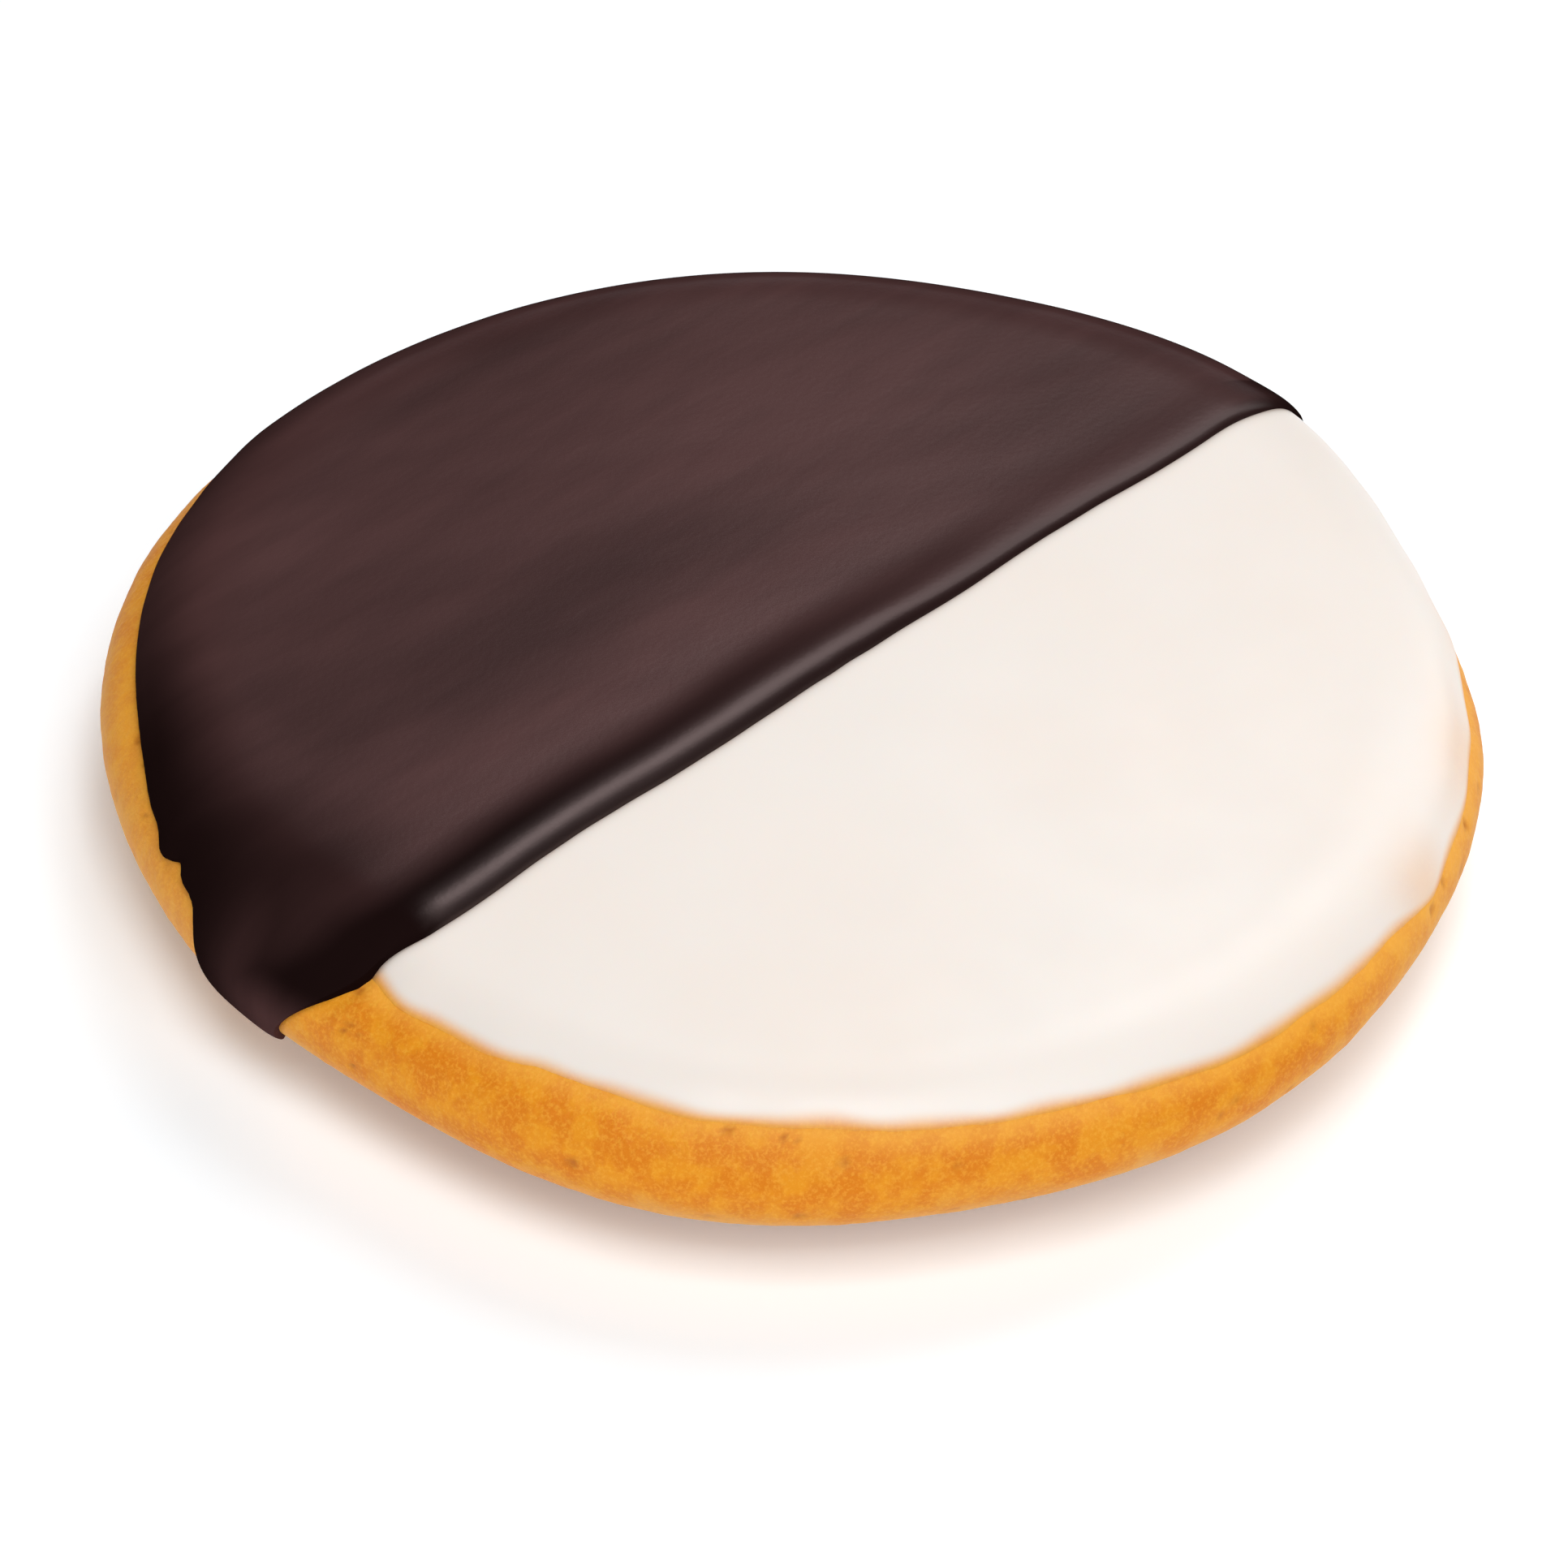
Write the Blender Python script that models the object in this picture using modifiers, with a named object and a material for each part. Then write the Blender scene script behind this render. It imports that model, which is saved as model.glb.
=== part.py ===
"""A black and white cookie: a soft, cake-like round that lies on its domed underside, iced in two halves.

Three solids: the baked base, the white icing and the chocolate icing.
+Z is up and the origin is on the table, under the middle of the cookie.
+X runs along the line where the two icings meet, and the chocolate half is at +Y.
"""

import math

import bmesh
import bpy
import numpy as np

MM = 0.001

# The base, seen from the side: a nearly flat top, a rounded shoulder, a widest ring and a domed underside
RADIUS = 57.0 * MM
BASE_HEIGHT = 16.5 * MM
WIDEST_HEIGHT = 10.2 * MM
SHOULDER_WIDTH = 9.5 * MM
SHOULDER_POWER = 2.15
UNDERSIDE_WIDTH = 25.0 * MM
UNDERSIDE_POWER = 2.0
CROWN = 0.7 * MM

# The base, seen from above: waves round the outline, as (lobes, share of the radius, turn in degrees)
OUTLINE_WAVES = (
    (2, 0.0176, 86.9),
    (3, 0.0147, 4.6),
    (4, 0.0036, 33.2),
    (5, 0.0067, -0.3),
    (6, 0.0023, 2.7),
    (7, 0.0044, 4.9),
    (8, 0.0033, -5.8),
)

# Its swells, as (direction in degrees, half width in degrees, share of the radius, steepness)
OUTLINE_SWELLS = (
    (109.0, 12.0, 0.011, 2),
    (169.0, 11.0, 0.008, 2),
)
OUTLINE_MIDDLE_X = 1.39 * MM
OUTLINE_MIDDLE_Y = -0.37 * MM

# Facets of the base
AROUND = 72
TOP_RINGS = 4
SHOULDER_RINGS = 8
UNDERSIDE_RINGS = 9

# The line between the icings, in the map of the base's skin laid flat
SPLIT_Y = -4.95 * MM
SPLIT_SLOPE = 0.012
SPLIT_WAVE = 0.2 * MM
SPLIT_WAVE_LENGTH = 28.0 * MM
SPLIT_WAVE_CREST = 26.0 * MM
SPLIT_FADE = 9.0 * MM

# Past the white icing's left end the line steps in, and over the rim it turns up into the tongue's near flank.
# At its right end it bends a little towards the white.
# Each turn is (from x, to x, rise)
SPLIT_TURNS = (
    (-46.5 * MM, -51.5 * MM, 0.9 * MM),
    (-52.0 * MM, -63.5 * MM, 7.5 * MM),
    (45.0 * MM, 56.0 * MM, -0.8 * MM),
)

# Gap that two touching pieces keep
GAP = 0.3 * MM

# White icing. Its outer edge, a length over the skin from the middle, grows from the near left to the right
WHITE_THICKNESS = 0.9 * MM
WHITE_EDGE_THICKNESS = 0.14 * MM
WHITE_FEATHER = 5.0 * MM
WHITE_EDGE_NEAR = 52.0 * MM
WHITE_EDGE_FAR = 57.0 * MM
WHITE_GROWS_FROM = 195.0
WHITE_GROWS_TO = 300.0
WHITE_CORNER = (188.0, 6.0, 1.2 * MM, 2)
WHITE_NOTCH = (313.0, 4.5, -1.2 * MM, 2)
WHITE_COLUMNS = 38
WHITE_ROWS = 14

# Chocolate icing: a rounded bead stands along the line, and at the left a tongue hangs down over the rim.
# A dip, a tongue or a wrap of its edge is (direction in degrees, half width in degrees, height, steepness)
CHOCOLATE_THICKNESS = 1.35 * MM
CHOCOLATE_EDGE_THICKNESS = 0.4 * MM
CHOCOLATE_EDGE_ROUND = 2.4 * MM
SPLIT_EDGE_THICKNESS = 1.1 * MM
BEAD_RISE = 0.75 * MM
BEAD_ROUND = 1.9 * MM
BEAD_CREST = 1.6 * MM
BEAD_REACH = 1.9 * MM
THINNED = 0.5
THINS_FROM = 49.0 * MM
THINS_TO = 60.0 * MM
CHOCOLATE_EDGE = 56.6 * MM
DIP = (128.0, 27.0, -2.8 * MM, 4)
TONGUE = (176.0, 8.5, 7.0 * MM, 4)
CORNER_WRAP = (2.0, 10.0, 1.2 * MM, 2)
CHOCOLATE_COLUMNS = 48
CHOCOLATE_ROWS = 18

# The tongue bends sharply over the rim, so the chocolate's sheet has smaller facets from here to its left end
FINE_COLUMN = -0.56
FINE_ROW = 0.20

# How the icings' columns bunch towards their ends, from 0, even, to 1
BUNCHING = 0.65

# How finely the curves behind the map are worked out
TOP_SAMPLES = 120
CURVE_SAMPLES = 160
EDGE_SAMPLES = 1441
SLOPE_STEP = 0.5 * MM

# Finishes: colour and roughness
CAKE = ((0.74, 0.29, 0.06, 1.0), 0.8)
WHITE = ((0.93, 0.85, 0.79, 1.0), 0.45)
CHOCOLATE = ((0.075, 0.04, 0.037, 1.0), 0.35)
CREASE = math.radians(50)


def clear_scene():
    for thing in list(bpy.data.objects):
        bpy.data.objects.remove(thing, do_unlink=True)


def crown(r):
    """How far the top swells over the flat, at radius r."""
    return CROWN * (1 - (r / RADIUS) ** 2)


def top_point(share):
    r = (RADIUS - SHOULDER_WIDTH) * share
    return r, BASE_HEIGHT - CROWN + crown(r)


def shoulder_point(turn):
    """From the top's edge, turn 90 degrees, down to the widest ring, turn 0."""
    rise = BASE_HEIGHT - CROWN - WIDEST_HEIGHT
    r = RADIUS - SHOULDER_WIDTH * (1 - math.cos(turn) ** (2 / SHOULDER_POWER))
    z = WIDEST_HEIGHT + rise * math.sin(turn) ** (2 / SHOULDER_POWER)
    return r, z + crown(r)


def underside_point(turn):
    """From the widest ring, turn 0, down to the flat foot's edge, turn 90 degrees."""
    r = RADIUS - UNDERSIDE_WIDTH * (1 - math.cos(turn) ** (2 / UNDERSIDE_POWER))
    z = WIDEST_HEIGHT * (1 - math.sin(turn) ** (2 / UNDERSIDE_POWER))
    return r, z


def section(top_rings, shoulder_rings, underside_rings):
    """The base's side profile, from the middle of the top to the edge of the flat foot."""
    quarter = math.pi / 2
    points = [top_point(i / top_rings) for i in range(top_rings)]
    points += [shoulder_point(quarter * (1 - i / shoulder_rings)) for i in range(shoulder_rings)]
    points += [underside_point(quarter * i / underside_rings) for i in range(underside_rings)]
    points.append((RADIUS - UNDERSIDE_WIDTH, 0.0))
    return points


class Skin:
    """The base's skin as a flat map: the direction from the middle, and the length over the skin."""

    def __init__(self):
        self.r, self.z = np.array(section(TOP_SAMPLES, CURVE_SAMPLES, CURVE_SAMPLES)).T
        steps = np.hypot(np.diff(self.r), np.diff(self.z))
        self.length = np.concatenate([[0.0], np.cumsum(steps)])

    def profile_point(self, length):
        return np.interp(length, self.length, self.r), np.interp(length, self.length, self.z)

    def point(self, angle, length, lift):
        """The point that lies this far from the middle over the skin, and this high above it."""
        r, z = self.profile_point(length)
        inner_r, inner_z = self.profile_point(length - SLOPE_STEP)
        outer_r, outer_z = self.profile_point(length + SLOPE_STEP)
        slope = math.atan2(outer_z - inner_z, outer_r - inner_r)
        out = r * outline(angle) - lift * math.sin(slope)
        return place(angle, out, z + lift * math.cos(slope))


def outline(angle):
    """The uneven outline, as a factor on the radius."""
    waves = (height * math.cos(lobes * (angle - math.radians(turn))) for lobes, height, turn in OUTLINE_WAVES)
    degrees = math.degrees(angle) % 360
    return 1 + sum(waves) + sum(bump(degrees, *swell) for swell in OUTLINE_SWELLS)


def place(angle, r, z):
    """From the outline's own centre to the frame's origin, which is under the middle of its box."""
    return r * math.cos(angle) - OUTLINE_MIDDLE_X, r * math.sin(angle) - OUTLINE_MIDDLE_Y, z


def smooth_step(share):
    share = min(max(share, 0.0), 1.0)
    return share * share * (3 - 2 * share)


def split_line(x):
    """Where the two icings meet, at x in the flat map."""
    wave = SPLIT_WAVE * math.cos(math.tau * (x - SPLIT_WAVE_CREST) / SPLIT_WAVE_LENGTH)
    turned = sum(rise * smooth_step((x - start) / (end - start)) for start, end, rise in SPLIT_TURNS)
    return SPLIT_Y + SPLIT_SLOPE * x + wave + turned


def bump(degrees, centre, width, height, power):
    return height * math.exp(-((abs(degrees - centre) / width) ** power))


def white_edge(degrees):
    """How far the white icing reaches from the middle, in directions from 180 to 360 degrees."""
    share = (degrees - WHITE_GROWS_FROM) / (WHITE_GROWS_TO - WHITE_GROWS_FROM)
    edge = WHITE_EDGE_NEAR + (WHITE_EDGE_FAR - WHITE_EDGE_NEAR) * smooth_step(share)
    return edge + bump(degrees, *WHITE_CORNER) + bump(degrees, *WHITE_NOTCH)


def chocolate_edge(degrees):
    """How far the chocolate icing reaches from the middle, in directions from 0 to 180 degrees."""
    return CHOCOLATE_EDGE + bump(degrees, *DIP) + bump(degrees, *TONGUE) + bump(degrees, *CORNER_WRAP)


class Edge:
    """An icing's outer edge in the flat map, from +X round to -X, measured out along itself."""

    def __init__(self, reach, side):
        turns = np.linspace(0.0, 180.0, EDGE_SAMPLES)
        lengths = np.array([reach(turn if side > 0 else 360.0 - turn) for turn in turns])
        self.x = lengths * np.cos(np.radians(turns))
        self.y = lengths * np.sin(np.radians(turns)) * side
        along = np.concatenate([[0.0], np.cumsum(np.hypot(np.diff(self.x), np.diff(self.y)))])
        self.share = along / along[-1]

    def point(self, share):
        return np.interp(share, self.share, self.x), np.interp(share, self.share, self.y)

    def away(self, x, y):
        return float(np.hypot(self.x - x, self.y - y).min())


def rounded(away, width):
    """A quarter round: 0 at the edge, 1 from the width inwards."""
    share = min(max(away / width, 0.0), 1.0)
    return math.sqrt(1 - (1 - share) ** 2)


def white_thickness(from_split, from_edge, length):
    full = rounded(from_edge, WHITE_FEATHER)
    return WHITE_EDGE_THICKNESS + (WHITE_THICKNESS - WHITE_EDGE_THICKNESS) * full


def chocolate_thickness(from_split, from_edge, length):
    bead = BEAD_RISE * math.exp(-(((from_split - BEAD_CREST) / BEAD_REACH) ** 2))
    full = CHOCOLATE_THICKNESS + bead - SPLIT_EDGE_THICKNESS
    full = SPLIT_EDGE_THICKNESS + full * rounded(from_split, BEAD_ROUND)
    full *= 1 - THINNED * smooth_step((length - THINS_FROM) / (THINS_TO - THINS_FROM))
    share = rounded(from_edge, CHOCOLATE_EDGE_ROUND)
    return CHOCOLATE_EDGE_THICKNESS + (full - CHOCOLATE_EDGE_THICKNESS) * share


def bunched(share):
    """Moves columns from -1 to 1 towards both ends."""
    return (1 - BUNCHING) * share + BUNCHING * math.sin(share * math.pi / 2)


def half_round(column, row):
    """Bends a rectangle, column -1 to 1 and row 0 to 1, to half a round with its straight side at row 0."""
    return column * math.sqrt(1 - row * row / 2), row * math.sqrt(1 - column * column / 2)


def material(name, finish):
    colour, roughness = finish
    made = bpy.data.materials.new(name)
    made.use_nodes = True
    shader = made.node_tree.nodes["Principled BSDF"]
    shader.inputs["Base Color"].default_value = colour
    shader.inputs["Roughness"].default_value = roughness
    shader.inputs["Metallic"].default_value = 0.0
    return made


def add_object(name, mesh, collection, finish):
    thing = bpy.data.objects.new(name, mesh)
    collection.objects.link(thing)
    mesh.materials.append(finish)
    return thing


def cake_base(collection):
    """The baked round: its profile turned about Z, then stretched to the uneven outline."""
    profile = section(TOP_RINGS, SHOULDER_RINGS, UNDERSIDE_RINGS)
    profile.append((0.0, 0.0))
    bm = bmesh.new()
    points = [bm.verts.new((r, 0.0, z)) for r, z in profile]
    for upper, lower in zip(points, points[1:]):
        bm.edges.new((upper, lower))
    mesh = bpy.data.meshes.new("base_profile")
    bm.to_mesh(mesh)
    bm.free()
    turned = bpy.data.objects.new("base_profile", mesh)
    collection.objects.link(turned)
    screw = turned.modifiers.new("turn", "SCREW")
    screw.steps = AROUND
    screw.render_steps = AROUND
    screw.use_merge_vertices = True
    screw.merge_threshold = 0.01 * MM
    seen = turned.evaluated_get(bpy.context.evaluated_depsgraph_get())
    mesh = bpy.data.meshes.new_from_object(seen)
    bpy.data.objects.remove(turned, do_unlink=True)
    mesh.name = "cookie_base"
    for vertex in mesh.vertices:
        angle = math.atan2(vertex.co.y, vertex.co.x)
        r = math.hypot(vertex.co.x, vertex.co.y)
        vertex.co = place(angle, r * outline(angle), vertex.co.z)
    mesh.shade_smooth()
    add_object("cookie_base", mesh, collection, material("golden_cake", CAKE))


def flat_sheet(columns, rows, finer_end):
    """A flat square sheet from -1 to 1, with finer facets at the left end of its first rows if asked."""
    bm = bmesh.new()
    bmesh.ops.create_grid(bm, x_segments=columns, y_segments=rows, size=1.0)
    if finer_end:
        corner = {v for v in bm.verts if v.co.x < FINE_COLUMN and v.co.y < FINE_ROW}
        edges = [e for e in bm.edges if set(e.verts) <= corner]
        bmesh.ops.subdivide_edges(bm, edges=edges, cuts=1, use_grid_fill=True)
        bm.verts.index_update()
    return bm


def icing(collection, skin, name, finish, side, sheet, edge, thickness, thickest):
    """Half a round of icing laid on the skin. side is 1 for the chocolate's half and -1 for the white's."""
    clearance = GAP if side < 0 else 0.0
    weights = {}
    for vertex in sheet.verts:
        column = bunched(vertex.co.x)
        row = (1 - math.cos(math.pi * (vertex.co.y + 1) / 2)) / 2
        across, up = half_round(column, row)
        share = math.hypot(across, up)
        edge_x, edge_y = edge.point(math.atan2(up, across) / math.pi)
        x, y = share * edge_x, share * edge_y
        from_edge = edge.away(x, y)
        straight = split_line(x) + side * clearance
        y += straight * math.exp(-abs(y) / SPLIT_FADE)
        length = math.hypot(x, y)
        weights[vertex.index] = thickness(abs(y - straight), from_edge, length) / thickest
        vertex.co = skin.point(math.atan2(y, x), length, GAP)
    if side < 0:
        bmesh.ops.reverse_faces(sheet, faces=sheet.faces)
    mesh = bpy.data.meshes.new(name)
    sheet.to_mesh(mesh)
    sheet.free()
    mesh.shade_smooth()
    mesh.set_sharp_from_angle(angle=CREASE)
    laid = add_object(name, mesh, collection, finish)
    group = laid.vertex_groups.new(name="thickness")
    for index, weight in weights.items():
        group.add([index], weight, "REPLACE")
    solidify = laid.modifiers.new("thickness", "SOLIDIFY")
    solidify.thickness = thickest
    solidify.offset = 1.0
    solidify.vertex_group = group.name


def white_icing(collection, skin):
    sheet = flat_sheet(WHITE_COLUMNS, WHITE_ROWS, finer_end=False)
    edge = Edge(white_edge, -1)
    finish = material("white_icing", WHITE)
    icing(collection, skin, "white_icing", finish, -1, sheet, edge, white_thickness, WHITE_THICKNESS)


def chocolate_icing(collection, skin):
    sheet = flat_sheet(CHOCOLATE_COLUMNS, CHOCOLATE_ROWS, finer_end=True)
    edge = Edge(chocolate_edge, 1)
    finish = material("chocolate_icing", CHOCOLATE)
    thickest = CHOCOLATE_THICKNESS + BEAD_RISE
    icing(collection, skin, "chocolate_icing", finish, 1, sheet, edge, chocolate_thickness, thickest)


def build():
    clear_scene()
    collection = bpy.data.collections.new("black_and_white_cookie")
    bpy.context.scene.collection.children.link(collection)
    skin = Skin()
    cake_base(collection)
    white_icing(collection, skin)
    chocolate_icing(collection, skin)


build()
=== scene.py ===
"""Models a black and white cookie: a golden cake round, iced half in white and half in chocolate.

The cookie lies on its domed underside on a pale floor, in soft studio light.
+X runs along the line between the icings, the chocolate half is at +Y, and lengths are in metres.
"""

import math

import bpy
import numpy as np
from mathutils import Matrix, Vector, kdtree, noise


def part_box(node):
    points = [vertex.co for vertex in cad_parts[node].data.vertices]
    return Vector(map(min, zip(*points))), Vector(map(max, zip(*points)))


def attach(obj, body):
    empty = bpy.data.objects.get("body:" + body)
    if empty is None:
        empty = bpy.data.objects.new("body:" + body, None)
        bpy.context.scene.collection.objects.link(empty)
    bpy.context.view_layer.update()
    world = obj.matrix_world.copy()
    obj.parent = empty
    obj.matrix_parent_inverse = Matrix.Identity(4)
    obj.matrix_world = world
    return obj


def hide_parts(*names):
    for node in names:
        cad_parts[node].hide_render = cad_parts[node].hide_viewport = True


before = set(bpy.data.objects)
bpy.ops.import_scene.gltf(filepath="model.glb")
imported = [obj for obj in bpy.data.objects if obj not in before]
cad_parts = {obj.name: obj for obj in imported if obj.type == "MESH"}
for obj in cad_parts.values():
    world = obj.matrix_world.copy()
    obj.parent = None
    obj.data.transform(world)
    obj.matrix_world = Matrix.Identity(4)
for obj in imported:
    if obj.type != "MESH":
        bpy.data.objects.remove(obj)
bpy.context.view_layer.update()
BASE_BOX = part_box("cookie_base")

bl_info = {
    "name": "Black and white cookie",
    "version": (1, 0, 0),
    "blender": (4, 5, 0),
    "location": "3D View > Sidebar > Cookie",
    "description": "Models an iced black and white cookie and a small studio round it",
    "category": "Add Mesh",
}

MM = 0.001

# The soft noise of each place has its own seed, which shifts it by this much a step
NOISE_SHIFT = (3.7, 1.3, 2.1)
WHITE_SWELL_SEED = 1
SPLIT_SEED = 3
WHITE_EDGE_SEED = 4
CHOCOLATE_EDGE_SEED = 5
WHITE_FADE_SEED = 6
STROKE_SEED = 8
FINE_STROKE_SEED = 9
PORE_SEED = 7

# The cake's side profile and its uneven outline. A wave is (lobes, share of the radius, turn in degrees),
# and a swell is (direction in degrees, half width in degrees, share of the radius, steepness)
SHOULDER_POWER = 2.15
OUTLINE_WAVES = (
    (2, 0.0176, 86.9),
    (3, 0.0147, 4.6),
    (4, 0.0036, 33.2),
    (5, 0.0067, -0.3),
    (6, 0.0023, 2.7),
    (7, 0.0044, 4.9),
    (8, 0.0033, -5.8),
)
OUTLINE_SWELLS = (
    (109.0, 12.0, 0.011, 2),
    (169.0, 11.0, 0.008, 2),
)
OUTLINE_MIDDLE = np.array([1.39 * MM, -0.37 * MM])
CURVE_SAMPLES = 200
SLOPE_STEP = 0.4 * MM

# The line between the icings in the flat map of the skin. A turn of it is (from x, to x, rise)
SPLIT_Y = -4.95 * MM
SPLIT_SLOPE = 0.012
SPLIT_WAVE = 0.2 * MM
SPLIT_WAVE_LENGTH = 28.0 * MM
SPLIT_WAVE_CREST = 26.0 * MM
SPLIT_FADE = 9.0 * MM
SPLIT_TURNS = (
    (-46.5 * MM, -51.5 * MM, 0.9 * MM),
    (-52.0 * MM, -63.5 * MM, 7.5 * MM),
    (45.0 * MM, 56.0 * MM, -0.8 * MM),
)
SPLIT_RIPPLE = 0.09 * MM
SPLIT_RIPPLE_SIZE = 5.0 * MM

# Edges of the icings. A bump is (direction in degrees, half width in degrees, height, steepness)
WHITE_EDGE_NEAR = 52.0 * MM
WHITE_EDGE_FAR = 57.0 * MM
WHITE_GROWS_FROM = 195.0
WHITE_GROWS_TO = 300.0
WHITE_BUMPS = (
    (188.0, 6.0, 1.2 * MM, 2),
    (199.0, 6.0, 1.1 * MM, 2),
    (215.0, 9.0, 0.6 * MM, 2),
    (238.0, 12.0, 0.6 * MM, 2),
    (289.0, 3.5, 0.8 * MM, 2),
    (306.0, 3.0, -0.3 * MM, 2),
    (313.0, 4.5, -0.6 * MM, 2),
)
WHITE_RIPPLE = 0.25 * MM
CHOCOLATE_EDGE = 56.6 * MM
CHOCOLATE_BUMPS = (
    (128.0, 27.0, -2.8 * MM, 4),
    (158.3, 1.5, 0.6 * MM, 2),
    (160.8, 1.0, -0.7 * MM, 2),
    (176.0, 8.5, 7.0 * MM, 4),
    (2.0, 10.0, 1.2 * MM, 2),
)
CHOCOLATE_RIPPLE = 0.3 * MM
RIPPLE_SIZE = 5.0
EDGE_SAMPLES = 2881

# The spatula drew the chocolate out in this direction
STROKE_TURN = math.radians(-28.0)


class CookieForm(bpy.types.PropertyGroup):
    """Sizes of the cake and its icings."""

    radius: bpy.props.FloatProperty(
        name="Radius", description="From the middle to the widest ring", default=57.0 * MM, unit="LENGTH"
    )
    height: bpy.props.FloatProperty(
        name="Cake height", description="From the table to the middle of the cake's top",
        default=BASE_BOX[1].z, unit="LENGTH",
    )
    widest: bpy.props.FloatProperty(
        name="Widest at", description="Height of the widest ring", default=10.2 * MM, unit="LENGTH"
    )
    shoulder: bpy.props.FloatProperty(
        name="Shoulder", description="Width of the rounded upper edge", default=9.5 * MM, unit="LENGTH"
    )
    underside: bpy.props.FloatProperty(
        name="Underside", description="Width of the domed part of the underside",
        default=25.0 * MM, unit="LENGTH",
    )
    crown: bpy.props.FloatProperty(
        name="Crown", description="How far the top swells in the middle", default=0.7 * MM, unit="LENGTH"
    )
    white: bpy.props.FloatProperty(
        name="White icing", description="Thickness of the white icing", default=0.9 * MM, unit="LENGTH"
    )
    chocolate: bpy.props.FloatProperty(
        name="Chocolate icing", description="Thickness of the chocolate icing",
        default=1.35 * MM, unit="LENGTH",
    )
    bead: bpy.props.FloatProperty(
        name="Bead", description="Rise of the chocolate's rounded edge along the line",
        default=0.75 * MM, unit="LENGTH",
    )
    gap: bpy.props.FloatProperty(
        name="Gap", description="Height over the smooth cake from which an icing's thickness counts",
        default=0.3 * MM, unit="LENGTH",
    )


def colour_property(name, description, default):
    return bpy.props.FloatVectorProperty(
        name=name, description=description, default=default, subtype="COLOR", size=3, min=0.0, max=1.0
    )


class CookieColours(bpy.types.PropertyGroup):
    """Colours of the cake and its icings."""

    cake: colour_property("Cake", "Golden crust", (0.83, 0.302, 0.004))
    cake_deep: colour_property("Browned patches", "Deeper orange where it baked longer", (0.75, 0.215, 0.0))
    # Painted reflection of the white floor on the rim below the widest ring
    cake_floor_reflection: colour_property("Lower rim", "Painted floor reflection below the widest ring", (0.78, 0.39, 0.10))
    crumb: colour_property("Crumb", "Fine pale grains of the crust", (0.91, 0.42, 0.035))
    # Painted highlight: the bright crust along the white icing, also used for the painted sheen on two sides
    painted_highlight: colour_property("Painted crust highlight", "Bright crust along the white icing", (0.94, 0.46, 0.07))
    cake_foot: colour_property("Foot", "Brown underside", (0.46, 0.19, 0.06))
    pore: colour_property("Pores", "Brown inside the pores and short cracks", (0.50, 0.13, 0.004))
    white: colour_property("White icing", "Set sugar icing", (0.885, 0.822, 0.768))
    white_clouds: colour_property("Thinner white icing", "Faint warm clouds in it", (0.895, 0.785, 0.705))
    # Painted contact shade on the white icing right beside the chocolate
    painted_contact_shade: colour_property("Painted shade by the chocolate", "White icing right beside the chocolate", (0.20, 0.12, 0.08))
    chocolate: colour_property("Chocolate icing", "Dark, glossy chocolate", (0.0080, 0.0034, 0.0032))
    # Painted sheen: the lighter colour that stands in for the flat part's reflections
    chocolate_painted_sheen: colour_property("Chocolate painted sheen", "Painted sheen of the flat part", (0.083, 0.038, 0.037))
    chocolate_sheen: colour_property("Chocolate sheen", "Tint of its reflections", (1.0, 0.74, 0.72))


class CookieStudio(bpy.types.PropertyGroup):
    """The view."""

    azimuth: bpy.props.FloatProperty(
        name="View direction", description="Turn of the camera round the cookie",
        default=math.radians(-44.0), subtype="ANGLE",
    )
    elevation: bpy.props.FloatProperty(
        name="View height", description="Angle of the camera above the table",
        default=math.radians(40.5), subtype="ANGLE",
    )
    distance: bpy.props.FloatProperty(
        name="Distance", description="From the camera to the cookie", default=0.490, unit="LENGTH"
    )


def smooth_step(low, high, value):
    share = np.clip((value - low) / (high - low), 0.0, 1.0)
    return share * share * (3 - 2 * share)


def bump(degrees, centre, width, height, power):
    return height * np.exp(-((np.abs(degrees - centre) / width) ** power))


def rounded(away, width):
    """A quarter round: 0 at the edge, 1 from the width inwards."""
    share = np.clip(away / width, 0.0, 1.0)
    return np.sqrt(1 - (1 - share) ** 2)


def outline(angle):
    """The uneven outline, as a factor on the radius."""
    waves = [height * np.cos(lobes * (angle - math.radians(turn))) for lobes, height, turn in OUTLINE_WAVES]
    degrees = np.degrees(angle) % 360
    return 1 + sum(waves) + sum(bump(degrees, *swell) for swell in OUTLINE_SWELLS)


def noise_at(points, size, seed):
    """Soft noise from -1 to 1 at each point, with lumps about this size across."""
    shift = Vector([seed * part for part in NOISE_SHIFT])
    return np.array([noise.noise(Vector(p) / size + shift) for p in points])


def ripple(values, size, seed):
    """Soft noise along a line."""
    flat = np.zeros_like(values)
    return noise_at(np.stack([values, flat, flat], -1), size, seed)


def split_line(x):
    wave = SPLIT_WAVE * np.cos(math.tau * (x - SPLIT_WAVE_CREST) / SPLIT_WAVE_LENGTH)
    turned = sum(rise * smooth_step(start, end, x) for start, end, rise in SPLIT_TURNS)
    smooth = SPLIT_Y + SPLIT_SLOPE * x + wave + turned
    return smooth + SPLIT_RIPPLE * ripple(x, SPLIT_RIPPLE_SIZE, SPLIT_SEED)


def white_edge(degrees):
    grown = smooth_step(WHITE_GROWS_FROM, WHITE_GROWS_TO, degrees)
    edge = WHITE_EDGE_NEAR + (WHITE_EDGE_FAR - WHITE_EDGE_NEAR) * grown
    edge = edge + sum(bump(degrees, *each) for each in WHITE_BUMPS)
    return edge + WHITE_RIPPLE * ripple(degrees, RIPPLE_SIZE, WHITE_EDGE_SEED)


def chocolate_edge(degrees):
    edge = CHOCOLATE_EDGE + sum(bump(degrees, *each) for each in CHOCOLATE_BUMPS)
    return edge + CHOCOLATE_RIPPLE * ripple(degrees, RIPPLE_SIZE, CHOCOLATE_EDGE_SEED)


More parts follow.
